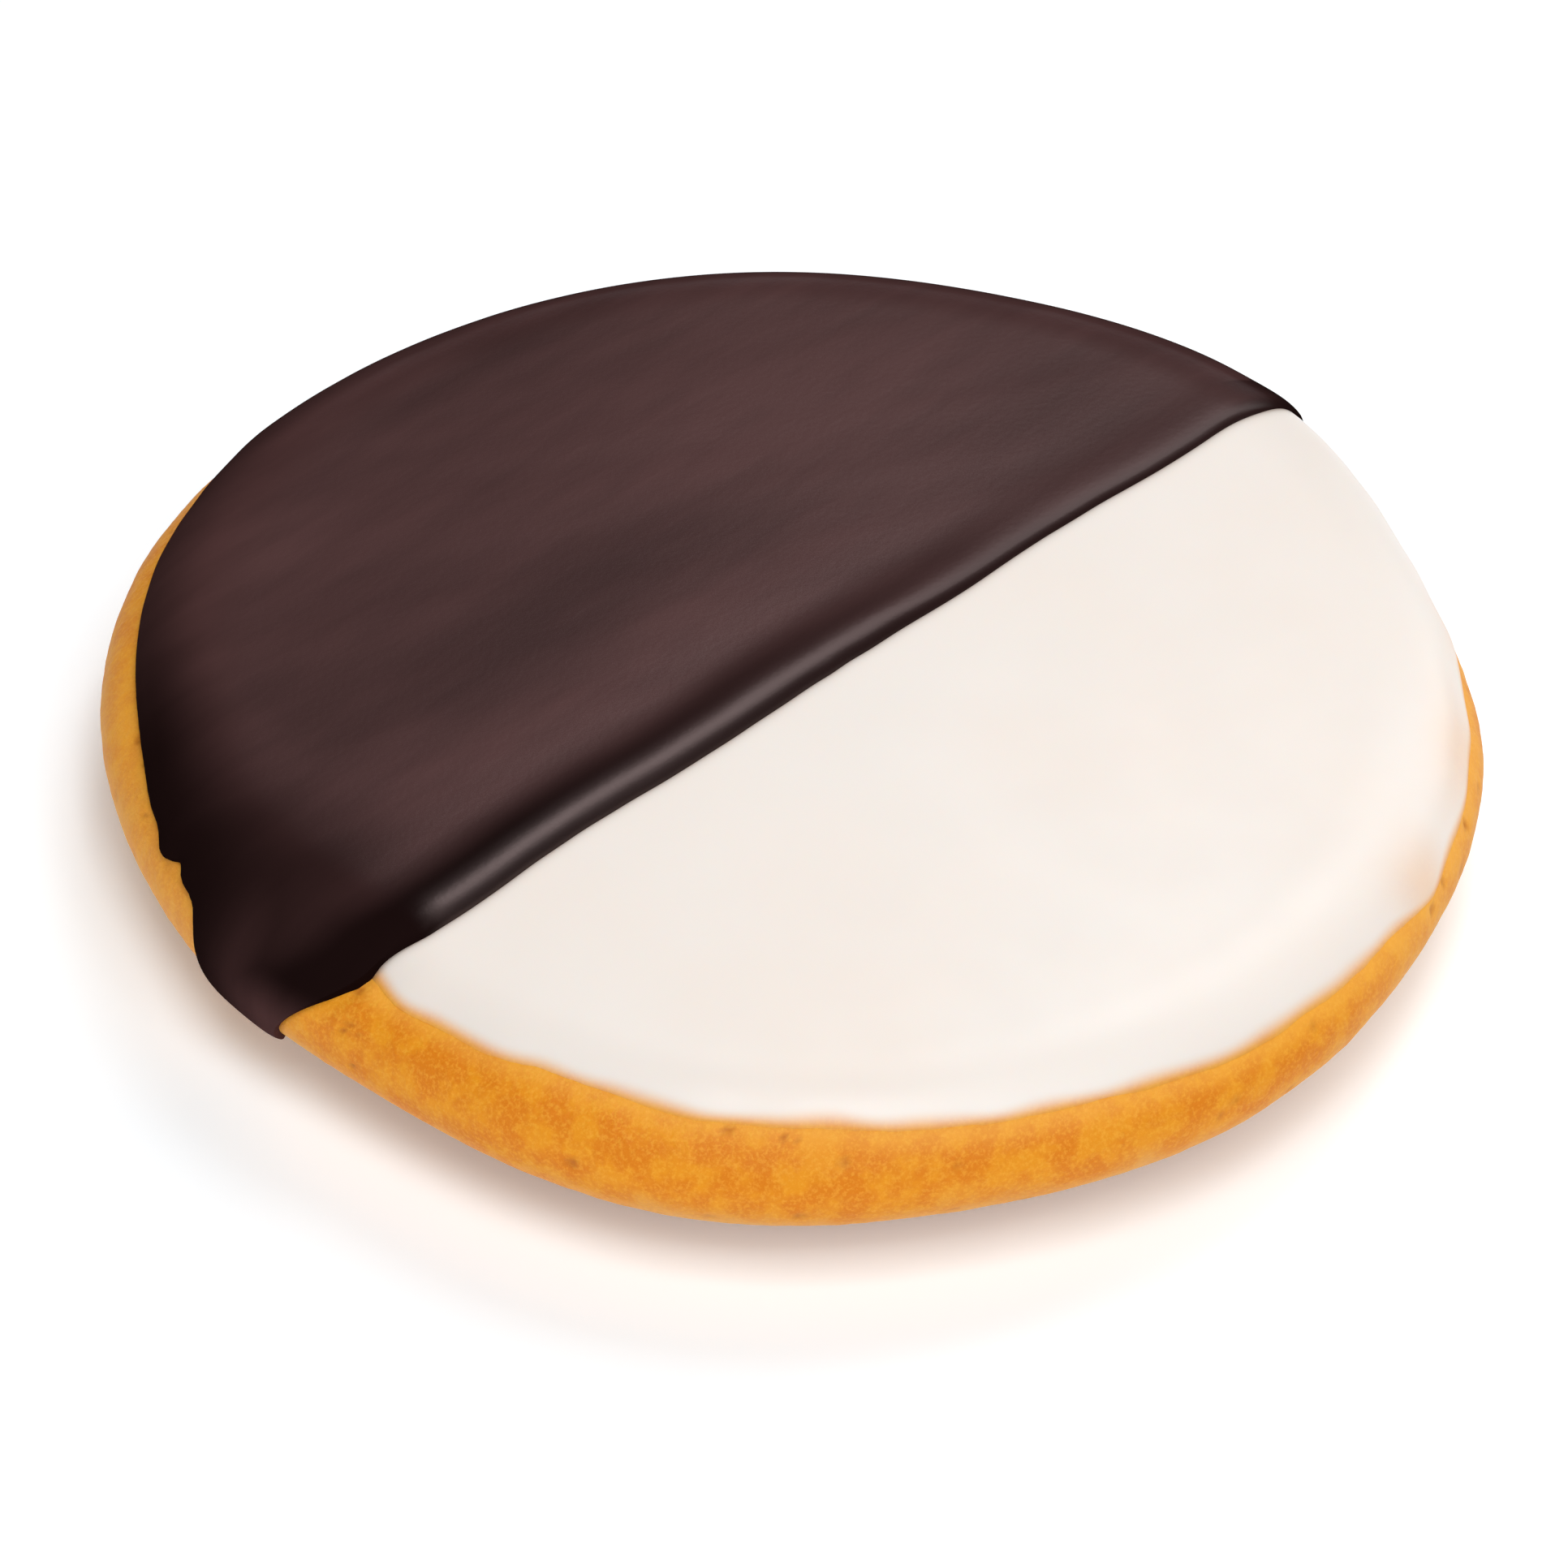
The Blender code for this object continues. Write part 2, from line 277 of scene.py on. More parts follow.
class Skin:
    """The smooth cake's skin as a flat map: direction from the middle, and length over the skin."""

    def __init__(self, form):
        quarter = np.linspace(0.0, math.pi / 2, CURVE_SAMPLES)
        flat = form.radius - form.shoulder
        level = form.height - form.crown
        turn = quarter[::-1]
        top = np.linspace(0.0, flat, CURVE_SAMPLES, endpoint=False)
        shoulder = form.radius - form.shoulder * (1 - np.cos(turn) ** (2 / SHOULDER_POWER))
        shoulder_z = form.widest + (level - form.widest) * np.sin(turn) ** (2 / SHOULDER_POWER)
        upper_r = np.concatenate([top, shoulder])
        upper_z = np.concatenate([np.full_like(top, level), shoulder_z])
        upper_z += form.crown * (1 - (upper_r / form.radius) ** 2)
        self.upper = len(upper_r)
        turn = quarter[1:]
        self.r = np.concatenate([upper_r, form.radius - form.underside * (1 - np.cos(turn))])
        self.z = np.concatenate([upper_z, form.widest * (1 - np.sin(turn))])
        self.length = np.concatenate([[0.0], np.cumsum(np.hypot(np.diff(self.r), np.diff(self.z)))])

    def profile(self, length):
        return np.interp(length, self.length, self.r), np.interp(length, self.length, self.z)

    def upper_length(self, r):
        """The length over the skin to this radius, above the widest ring."""
        return np.interp(r, self.r[: self.upper], self.length[: self.upper])

    def lay(self, x, y, lift):
        """Points of the flat map laid on the skin, this high above it."""
        length, angle = np.hypot(x, y), np.arctan2(y, x)
        r, z = self.profile(length)
        inner_r, inner_z = self.profile(length - SLOPE_STEP)
        outer_r, outer_z = self.profile(length + SLOPE_STEP)
        slope = np.arctan2(outer_z - inner_z, outer_r - inner_r)
        out = r * outline(angle) - lift * np.sin(slope)
        spot = np.stack([out * np.cos(angle), out * np.sin(angle), z + lift * np.cos(slope)], -1)
        spot[..., :2] -= OUTLINE_MIDDLE
        return spot


class Edge:
    """An icing's outer edge in the flat map, from +X round to -X, measured out along itself."""

    def __init__(self, reach, side):
        turns = np.linspace(0.0, 180.0, EDGE_SAMPLES)
        lengths = reach(turns if side > 0 else 360.0 - turns)
        self.x = lengths * np.cos(np.radians(turns))
        self.y = lengths * np.sin(np.radians(turns)) * side
        along = np.concatenate([[0.0], np.cumsum(np.hypot(np.diff(self.x), np.diff(self.y)))])
        self.share = along / along[-1]
        self.tree = kdtree.KDTree(EDGE_SAMPLES)
        for index, (x, y) in enumerate(zip(self.x, self.y)):
            self.tree.insert((x, y, 0.0), index)
        self.tree.balance()

    def point(self, share):
        return np.interp(share, self.share, self.x), np.interp(share, self.share, self.y)

    def away(self, x, y):
        return np.array([self.tree.find((a, b, 0.0))[2] for a, b in zip(x, y)])


def deselect():
    if bpy.context.mode != "OBJECT":
        bpy.ops.object.mode_set(mode="OBJECT")
    bpy.ops.object.select_all(action="DESELECT")


def coordinates(piece):
    flat = np.empty(len(piece.data.vertices) * 3)
    piece.data.vertices.foreach_get("co", flat)
    return flat.reshape(-1, 3)


def move_points(piece, points):
    piece.data.vertices.foreach_set("co", np.asarray(points, dtype=float).ravel())
    piece.data.update()


def point_normals(piece):
    flat = np.empty(len(piece.data.vertices) * 3)
    piece.data.vertices.foreach_get("normal", flat)
    return flat.reshape(-1, 3)


def float_attribute(piece, name, values):
    made = piece.data.attributes.new(name, "FLOAT", "POINT")
    made.data.foreach_set("value", np.asarray(values, dtype=float))


def point_group(piece, name, weights):
    group = piece.vertex_groups.new(name=name)
    steps = np.round(np.clip(weights, 0.0, 1.0), 3)
    for weight in np.unique(steps):
        group.add(np.flatnonzero(steps == weight).tolist(), float(weight), "REPLACE")
    return group


def apply_modifier(piece, modifier):
    bpy.context.view_layer.objects.active = piece
    piece.select_set(True)
    bpy.ops.object.modifier_apply(modifier=modifier.name)


def displace(piece, name, size, depth, group):
    """Presses soft lumps of this size and depth into the surface."""
    texture = bpy.data.textures.new(name, "CLOUDS")
    texture.noise_scale = size
    texture.noise_basis = "IMPROVED_PERLIN"
    texture.noise_depth = 1
    lumps = piece.modifiers.new(name, "DISPLACE")
    lumps.texture = texture
    lumps.texture_coords = "LOCAL"
    lumps.strength = depth
    lumps.mid_level = 0.5
    lumps.vertex_group = group
    apply_modifier(piece, lumps)
    bpy.data.textures.remove(texture)


class Shader:
    """A Principled material that is built up node by node."""

    def __init__(self, name):
        self.material = bpy.data.materials.new(name)
        self.material.use_nodes = True
        self.nodes = self.material.node_tree.nodes
        self.links = self.material.node_tree.links
        self.main = self.nodes["Principled BSDF"]

    def add(self, kind, inputs=None, **settings):
        node = self.nodes.new(kind)
        for name, value in settings.items():
            setattr(node, name, value)
        for name, value in (inputs or {}).items():
            self.put(node.inputs[name], value)
        return node

    def put(self, socket, value):
        if isinstance(value, bpy.types.NodeSocket):
            self.links.new(value, socket)
        else:
            socket.default_value = value

    def set(self, **values):
        for name, value in values.items():
            self.put(self.main.inputs[name.replace("_", " ")], value)

    def coordinates(self):
        return self.add("ShaderNodeTexCoord").outputs["Object"]

    def stretched(self, turn, scale):
        node = self.add("ShaderNodeMapping", {"Vector": self.coordinates()})
        node.inputs["Rotation"].default_value = (0.0, 0.0, turn)
        node.inputs["Scale"].default_value = scale
        return node.outputs["Vector"]

    def noise(self, per_metre, detail=2.0, vector=None, uneven=0.5):
        place = vector or self.coordinates()
        inputs = {"Vector": place, "Scale": per_metre, "Detail": detail, "Roughness": uneven}
        return self.add("ShaderNodeTexNoise", inputs).outputs["Fac"]

    def spread(self, value, low, high, to_low=0.0, to_high=1.0):
        node = self.add(
            "ShaderNodeMapRange",
            {"Value": value, "From Min": low, "From Max": high, "To Min": to_low, "To Max": to_high},
        )
        return node.outputs["Result"]

    def mix(self, share, first, second):
        node = self.add("ShaderNodeMix", data_type="RGBA")
        self.put(node.inputs["Factor"], share)
        self.put(node.inputs["A"], first)
        self.put(node.inputs["B"], second)
        return node.outputs["Result"]

    def math(self, operation, first, second=0.0):
        node = self.add("ShaderNodeMath", operation=operation)
        self.put(node.inputs[0], first)
        self.put(node.inputs[1], second)
        return node.outputs["Value"]

    def attribute(self, name):
        return self.add("ShaderNodeAttribute", attribute_name=name).outputs["Fac"]

    def bump(self, height, distance, strength=1.0, normal=None):
        inputs = {"Height": height, "Distance": distance, "Strength": strength}
        if normal:
            inputs["Normal"] = normal
        return self.add("ShaderNodeBump", inputs).outputs["Normal"]


def rgba(colour):
    return (*colour, 1.0)


def cake_colour(shader, colours):
    """Golden crust: deeper orange patches above, a lower rim paled by painted reflection of the floor, and
    fine pale crumb.
    """
    height = shader.add("ShaderNodeSeparateXYZ", {"Vector": shader.coordinates()}).outputs["Z"]
    uneven = shader.spread(shader.noise(90.0, 3.0), 0.3, 0.7, -2.2 * MM, 2.2 * MM)
    level = shader.math("ADD", height, uneven)
    upper = shader.spread(level, 6.5 * MM, 10.0 * MM)
    browned = shader.spread(shader.noise(400.0, 5.0), 0.42, 0.58)
    patches = shader.math("MULTIPLY", upper, browned)
    crumb = shader.spread(shader.noise(3000.0, 2.0, uneven=0.7), 0.46, 0.66, 0.0, 0.5)
    # Painted reflection of the floor, paling the rim below the widest ring
    lower = shader.spread(level, 10.0 * MM, 5.0 * MM, 0.0, 0.9)
    foot = shader.spread(height, 6.0 * MM, 3.0 * MM)
    colour = shader.mix(lower, rgba(colours.cake), rgba(colours.cake_floor_reflection))
    colour = shader.mix(patches, colour, rgba(colours.cake_deep))
    colour = shader.mix(crumb, colour, rgba(colours.crumb))
    # Painted highlight along the white icing, and painted sheen on the two sides
    colour = shader.mix(shader.attribute("painted_highlight"), colour, rgba(colours.painted_highlight))
    return shader.mix(foot, colour, rgba(colours.cake_foot))


def cake_material(colours):
    """Baked cake: a matt, finely grained crust with brown pores."""
    shader = Shader("baked_cake")
    colour = shader.mix(shader.attribute("pore"), cake_colour(shader, colours), rgba(colours.pore))
    grain = shader.bump(shader.noise(1700.0, 3.0, uneven=0.6), 0.16 * MM, 0.7)
    shader.set(Base_Color=colour, Roughness=0.6, Normal=grain)
    shader.set(Specular_IOR_Level=0.3, Subsurface_Weight=0.1, Subsurface_Scale=0.6 * MM)
    shader.main.inputs["Subsurface Radius"].default_value = (1.0, 0.45, 0.2)
    return shader.material


def white_material(colours):
    """Set sugar icing: pale cream, thin enough at its edge for the cake to show through, with painted shade
    beside the chocolate.
    """
    shader = Shader("set_sugar")
    thin = shader.attribute("thinness")
    clouds = shader.spread(shader.noise(45.0, 2.0), 0.35, 0.7, 0.0, 0.5)
    colour = shader.mix(clouds, rgba(colours.white), rgba(colours.white_clouds))
    colour = shader.mix(thin, colour, cake_colour(shader, colours))
    # Painted contact shade beside the chocolate's edge
    colour = shader.mix(shader.attribute("painted_contact_shade"), colour, rgba(colours.painted_contact_shade))
    rough = shader.spread(shader.noise(120.0, 2.0), 0.3, 0.7, 0.36, 0.46)
    skin = shader.bump(shader.noise(300.0, 3.0), 0.06 * MM, 0.2)
    shader.set(Base_Color=colour, Roughness=rough, Normal=skin)
    shader.set(Specular_IOR_Level=0.45, Subsurface_Weight=0.2, Subsurface_Scale=0.8 * MM)
    shader.main.inputs["Subsurface Radius"].default_value = (1.0, 0.6, 0.4)
    return shader.material


def chocolate_material(colours):
    """Set chocolate icing: painted sheen on the flat part, a glossy bead and a dull rim in painted shade."""
    shader = Shader("set_chocolate")
    painted_sheen = shader.attribute("painted_sheen")
    streaks = shader.noise(1.0, 3.0, shader.stretched(STROKE_TURN, (90.0, 420.0, 60.0)))
    # Painted sheen, streaked along the spatula's strokes
    drawn = shader.math("MULTIPLY", painted_sheen, shader.spread(streaks, 0.3, 0.7, 0.9, 1.1))
    colour = shader.mix(drawn, rgba(colours.chocolate), rgba(colours.chocolate_painted_sheen))
    skin = shader.bump(streaks, 0.03 * MM, 0.5)
    grain = shader.bump(shader.noise(1800.0, 2.0), 0.02 * MM, 0.7, skin)
    rough = shader.spread(shader.attribute("gloss"), 0.2, 0.6, 0.35, 0.42)
    shader.set(Base_Color=colour, Roughness=rough, Normal=grain)
    shader.set(Specular_IOR_Level=shader.attribute("gloss"), Specular_Tint=rgba(colours.chocolate_sheen))
    return shader.material


SHARP_FROM = math.radians(50.0)


def finish_piece(piece, name, material, node):
    """Names the piece, gives it its finish, and lets it stand for its node of the frame."""
    piece.name = name
    piece.data.name = name
    piece.data.materials.clear()
    piece.data.materials.append(material)
    piece.data.shade_smooth()
    piece.data.set_sharp_from_angle(angle=SHARP_FROM)
    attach(piece, "root")
    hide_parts(node)


# The cake's rings, as lengths over the skin: few under the icing, close together on the rim
HIDDEN_RINGS = np.linspace(0.0, 45.0, 9) * MM
RIM_RINGS = np.arange(45.8, 76.0, 0.36) * MM
UNDERSIDE_RING_STEP = 1.1 * MM
AROUND = 680

# Relief of the crust: lumps as (size, depth), which fade under the icings and on the foot
CRUST_LUMPS = ((14.0 * MM, 0.35 * MM), (4.5 * MM, 0.20 * MM), (1.2 * MM, 0.10 * MM))
ICING_OVERLAP = 1.2 * MM
FOOT_FADE = 1.5 * MM

# Painted highlight on the crust, a band along the white icing, and painted sheen on two sides as (direction,
# half width, share, steepness)
PAINTED_HIGHLIGHT = 0.45
PAINTED_HIGHLIGHT_REACH = 2.2 * MM
PAINTED_SHEEN_SIDES = ((152.0, 26.0, 0.40, 4), (296.0, 20.0, 0.35, 4))

# Pores of the bare rim
PORES = 260
PORE_RADIUS = (0.30 * MM, 0.80 * MM)
PORE_DEPTH = (0.08 * MM, 0.25 * MM)
PORE_ZONE = (52.0 * MM, 80.0 * MM)


class COOKIE_OT_cake(bpy.types.Operator):
    """Model the baked cake: a turned round with an uneven outline and a crumbly rim"""

    bl_idname = "cookie.cake"
    bl_label = "Cake"

    def execute(self, context):
        form = context.scene.cookie_form
        skin = Skin(form)
        lower = np.arange(RIM_RINGS[-1] + UNDERSIDE_RING_STEP, skin.length[-1], UNDERSIDE_RING_STEP)
        lengths = np.concatenate([HIDDEN_RINGS, RIM_RINGS, lower, skin.length[-1:]])
        r, z = skin.profile(lengths)
        profile = [Vector((a, 0.0, b)) for a, b in zip(r, z)] + [Vector((0.0, 0.0, 0.0))]
        cake = self.turn(profile)
        self.make_uneven(cake)
        crust, painted_highlight = self.crust_and_painted_highlight(cake, skin)
        point_group(cake, "crust", crust)
        float_attribute(cake, "painted_highlight", painted_highlight)
        for number, (size, depth) in enumerate(CRUST_LUMPS):
            displace(cake, f"crust_lumps_{number}", size, depth, "crust")
        self.prick(cake, skin, crust)
        self.rest_on_table(cake)
        finish_piece(cake, "baked_cake", cake_material(context.scene.cookie_colours), "cookie_base")
        return {"FINISHED"}

    def turn(self, profile):
        """Draws the profile from point to point and spins it about the vertical."""
        deselect()
        bpy.ops.mesh.primitive_plane_add(size=MM)
        bpy.ops.object.mode_set(mode="EDIT")
        bpy.ops.mesh.merge(type="CENTER")
        bpy.ops.transform.translate(value=profile[0])
        for here, there in zip(profile, profile[1:]):
            bpy.ops.mesh.extrude_region_move(TRANSFORM_OT_translate={"value": there - here})
        bpy.ops.mesh.select_all(action="SELECT")
        bpy.ops.mesh.spin(steps=AROUND, angle=math.tau, center=(0.0, 0.0, 0.0), axis=(0.0, 0.0, 1.0))
        bpy.ops.mesh.select_all(action="SELECT")
        bpy.ops.mesh.remove_doubles(threshold=0.01 * MM)
        bpy.ops.mesh.normals_make_consistent(inside=False)
        bpy.ops.object.mode_set(mode="OBJECT")
        return bpy.context.object

    def make_uneven(self, cake):
        points = coordinates(cake)
        grown = outline(np.arctan2(points[:, 1], points[:, 0]))
        points[:, :2] = points[:, :2] * grown[:, None] - OUTLINE_MIDDLE
        move_points(cake, points)

    def crust_and_painted_highlight(self, cake, skin):
        """Two shares for each point: how rough the crust is, and how much painted highlight and painted sheen
        it has.
        """
        points = coordinates(cake)
        x, y = (points[:, :2] + OUTLINE_MIDDLE).T
        angle = np.arctan2(y, x)
        r = np.hypot(x, y) / outline(angle)
        degrees = np.degrees(angle) % 360
        above = points[:, 2] > BASE_BOX[1].z / 2
        length = skin.upper_length(r)
        edge = np.where(degrees < 180.0, chocolate_edge(degrees), white_edge(degrees))
        bare = smooth_step(edge - ICING_OVERLAP, edge, length)
        crust = np.where(above, bare, 1.0) * smooth_step(0.0, FOOT_FADE, points[:, 2])
        # Painted highlight, fading out from the white icing's edge
        painted_highlight = PAINTED_HIGHLIGHT * (1 - smooth_step(0.0, PAINTED_HIGHLIGHT_REACH, length - edge))
        painted_highlight = np.where(above & (degrees > 180.0), painted_highlight, 0.0)
        # Painted sheen on the two sides that the view sees edge-on
        pale = sum(bump(degrees, *side) for side in PAINTED_SHEEN_SIDES)
        return crust, painted_highlight + (1 - painted_highlight) * pale

    def rest_on_table(self, cake):
        """Lifts what the lumps pushed below the table."""
        points = coordinates(cake)
        points[:, 2] = np.maximum(points[:, 2], 0.0)
        move_points(cake, points)

    def prick(self, cake, skin, crust):
        """Presses pores into the bare rim."""
        points, normals = coordinates(cake), point_normals(cake)
        browned = np.zeros(len(points))
        tree = kdtree.KDTree(len(points))
        for index, point in enumerate(points):
            tree.insert(point, index)
        tree.balance()
        draw = np.random.default_rng(PORE_SEED)
        angle = draw.uniform(0.0, math.tau, PORES)
        length = draw.uniform(*PORE_ZONE, PORES)
        centres = skin.lay(length * np.cos(angle), length * np.sin(angle), np.zeros(PORES))
        radii = draw.uniform(*PORE_RADIUS, PORES)
        depths = draw.uniform(*PORE_DEPTH, PORES)
        for centre, radius, depth in zip(centres, radii, depths):
            for _, index, away in tree.find_range(centre, radius):
                share = (1 - (away / radius) ** 2) ** 2 * crust[index]
                points[index] -= normals[index] * depth * share
                browned[index] = max(browned[index], share * depth / PORE_DEPTH[1])
        move_points(cake, points)
        float_attribute(cake, "pore", browned)


def half_round(column, row):
    """Bends a rectangle, column -1 to 1 and row 0 to 1, to half a round with its straight side at row 0."""
    return column * np.sqrt(1 - row * row / 2), row * np.sqrt(1 - column * column / 2)


class Icing:
    """Half a round of icing: a flat sheet bent onto the skin, then given its thickness.

    The side is 1 at +Y and -1 at -Y. Bunching draws the sheet's columns and rows towards its edges.
    """

    def __init__(self, form, side, columns, rows, bunching, reach, under_the_line):
        self.form = form
        self.side = side
        self.skin = Skin(form)
        deselect()
        bpy.ops.mesh.primitive_grid_add(x_subdivisions=columns, y_subdivisions=rows, size=2.0)
        self.piece = bpy.context.object
        flat = coordinates(self.piece)
        column = (1 - bunching) * flat[:, 0] + bunching * np.sin(flat[:, 0] * math.pi / 2)
        spaced = (flat[:, 1] + 1) / 2
        row = (1 - bunching) * spaced + bunching * (1 - np.cos(math.pi * spaced)) / 2
        across, up = half_round(column, row)
        share = np.hypot(across, up)
        edge = Edge(reach, side)
        edge_x, edge_y = edge.point(np.arctan2(up, across) / math.pi)
        self.x, self.y = share * edge_x, share * edge_y
        self.from_edge = edge.away(self.x, self.y)
        straight = split_line(self.x) - side * under_the_line
        self.y = self.y + straight * np.exp(-np.abs(self.y) / SPLIT_FADE)
        self.from_split = np.abs(self.y - straight)
        self.length = np.hypot(self.x, self.y)
        self.degrees = np.degrees(np.arctan2(self.y, self.x)) % 360

    def lay(self, thickness, sink):
        """Lays the sheet on the skin, its underside sunk in by this much, and thickens it."""
        move_points(self.piece, self.skin.lay(self.x, self.y, np.full_like(self.x, -sink)))
        if self.side < 0:
            bpy.ops.object.mode_set(mode="EDIT")
            bpy.ops.mesh.select_all(action="SELECT")
            bpy.ops.mesh.flip_normals()
            bpy.ops.object.mode_set(mode="OBJECT")
        thickest = float(thickness.max())
        group = self.piece.vertex_groups.new(name="thickness")
        for index, weight in enumerate(thickness / thickest):
            group.add([index], float(weight), "REPLACE")
        solidify = self.piece.modifiers.new("thickness", "SOLIDIFY")
        solidify.thickness = thickest
        solidify.offset = 1.0
        solidify.vertex_group = group.name
        apply_modifier(self.piece, solidify)


# How far the icings' undersides sink into the cake
SUNK = 0.3 * MM

# White icing. A thin patch is (direction in degrees, half width in degrees, width in from the edge, how thin)
WHITE_COLUMNS = 250
WHITE_ROWS = 110
WHITE_BUNCHING = 0.55
WHITE_EDGE_LIFT = -0.05 * MM
WHITE_SLOPE = 7.5 * MM
WHITE_STEEP_SLOPE = 5.2 * MM
WHITE_STEEP_FROM = 285.0
WHITE_STEEP_TO = 325.0
WHITE_SLOPE_POWER = 3
WHITE_SWELL = 0.06 * MM
WHITE_SWELL_SIZE = 13.0 * MM
WHITE_FADE = 1.6 * MM
WHITE_FADE_RIPPLE = 0.35
WHITE_FADE_POWER = 1.5
WHITE_UNDER_CHOCOLATE = 0.5 * MM
# Painted contact shade beside the chocolate: its share and reach
PAINTED_SHADE_SHARE = 0.75
PAINTED_SHADE_REACH = 0.3 * MM
THIN_PATCHES = ((305.0, 7.0, 6.5 * MM, 0.36), (322.0, 5.0, 3.5 * MM, 0.30), (289.0, 4.0, 7.0 * MM, 0.40))


class COOKIE_OT_white_icing(bpy.types.Operator):
    """Model the white icing: half a round with a thin, feathered outer edge"""

    bl_idname = "cookie.white_icing"
    bl_label = "White icing"

    def execute(self, context):
        form = context.scene.cookie_form
        icing = Icing(
            form, -1, WHITE_COLUMNS, WHITE_ROWS, WHITE_BUNCHING, white_edge, WHITE_UNDER_CHOCOLATE
        )
        float_attribute(icing.piece, "thinness", self.thinness(icing))
        # Painted contact shade, fading out from the chocolate's edge
        past = np.maximum(icing.from_split - WHITE_UNDER_CHOCOLATE, 0.0)
        float_attribute(icing.piece, "painted_contact_shade", PAINTED_SHADE_SHARE * np.exp(-past / PAINTED_SHADE_REACH))
        # The cake seen through the white's thin edge gets the same painted highlight
        float_attribute(icing.piece, "painted_highlight", np.full_like(past, PAINTED_HIGHLIGHT))
        icing.lay(self.top(form, icing) + SUNK, SUNK)
        material = white_material(context.scene.cookie_colours)
        finish_piece(icing.piece, "white_sugar_icing", material, "white_icing")
        return {"FINISHED"}

    def top(self, form, icing):
        """The height of its top over the smooth cake: a long slope up from the edge, steeper at the right."""
        full = form.gap + form.white
        steep = smooth_step(WHITE_STEEP_FROM, WHITE_STEEP_TO, icing.degrees)
        width = WHITE_SLOPE - (WHITE_SLOPE - WHITE_STEEP_SLOPE) * steep
        slope = 1 - (1 - np.clip(icing.from_edge / width, 0.0, 1.0)) ** WHITE_SLOPE_POWER
        points = np.stack([icing.x, icing.y, np.zeros_like(icing.x)], -1)
        swell = WHITE_SWELL * noise_at(points, WHITE_SWELL_SIZE, WHITE_SWELL_SEED)
        swell *= smooth_step(0.0, WHITE_SLOPE, icing.from_edge)
        return WHITE_EDGE_LIFT + (full - WHITE_EDGE_LIFT) * slope + swell

    def thinness(self, icing):
        """How far the cake shows through: fully at the outer edge, and faintly in a few thin patches."""
        uneven = WHITE_FADE_RIPPLE * ripple(icing.degrees, RIPPLE_SIZE, WHITE_FADE_SEED)
        fade = WHITE_FADE * (1 + uneven)
        through = (1 - smooth_step(0.0, 1.0, icing.from_edge / fade)) ** WHITE_FADE_POWER
        for centre, width, reach, share in THIN_PATCHES:
            patch = share * (1 - smooth_step(0.0, reach, icing.from_edge))
            through = np.maximum(through, patch * bump(icing.degrees, centre, width, 1.0, 2))
        return through


# Chocolate icing
CHOCOLATE_COLUMNS = 300
CHOCOLATE_ROWS = 130
CHOCOLATE_BUNCHING = 0.45
CHOCOLATE_EDGE_THICKNESS = 0.05 * MM
CHOCOLATE_EDGE_ROUND = 2.2 * MM
SPLIT_EDGE_THICKNESS = 0.92 * MM
BEAD_CREST = 2.2 * MM
BEAD_REACH = 2.4 * MM
BEAD_ENDS_FROM = -44.0 * MM
BEAD_ENDS_TO = -52.0 * MM
BEAD_FLATTENS = 0.8
BEAD_FLATTENS_FROM = -8.0 * MM
BEAD_FLATTENS_TO = 28.0 * MM
VALLEY_DEPTH = 0.12 * MM
VALLEY_AWAY = 6.5 * MM
VALLEY_REACH = 3.0 * MM
THINNED = 0.5
THINS_FROM = 49.0 * MM
THINS_TO = 60.0 * MM
THIN_TONGUE = 0.3
THIN_TONGUE_FROM = -34.0 * MM
THIN_TONGUE_TO = -46.0 * MM

# The spatula's strokes in it, and finer ones as a share of their size and height
STROKE_LENGTH = 30.0 * MM
STROKE_WIDTH = 8.0 * MM
STROKE_HEIGHT = 0.05 * MM
STROKE_FADE = 4.0 * MM
FINE_STROKE_FACTOR = 2.3
FINE_STROKE_HEIGHT = 0.4

# Its painted sheen. Painted shade keeps the rim dark, broadly on the tongue, and keeps a share of the sheen
# on the far side
RIM_FAR = 4.0 * MM
RIM_KEPT = 0.55
RIM_SIDE = 3.0 * MM
RIM_SIDE_FROM = 126.0
RIM_SIDE_TO = 150.0
RIM_TONGUE = (172.0, 16.0, 11.0 * MM, 2)
RIM_DARK = 1.5 * MM
# Painted shade by the bead and on its front face, stronger towards the left end
BEAD_DARK = 3.5 * MM
BEAD_SHADE_ENDS = 9.0 * MM
BEAD_FACE = (0.3 * MM, 2.0 * MM)
FACE_DARK = 0.75
BEAD_SHADE_MIDDLE = 0.55
BEAD_SHADE_FALL = 75.0 * MM
BEAD_SHADE_RANGE = (0.12, 1.0)
# Painted sheen: its mean share, its streaks and what stays on the rim
PAINTED_SHEEN_MEAN = 0.75
PAINTED_SHEEN_STREAKS = 0.12
RIM_PAINTED_SHEEN = 0.03
# Painted light on the tongue's tip
TIP_PAINTED_LIGHT = (178.0, 5.5, 0.8, 2)
TIP_PAINTED_LIGHT_REACH = (3.5 * MM, 7.5 * MM)

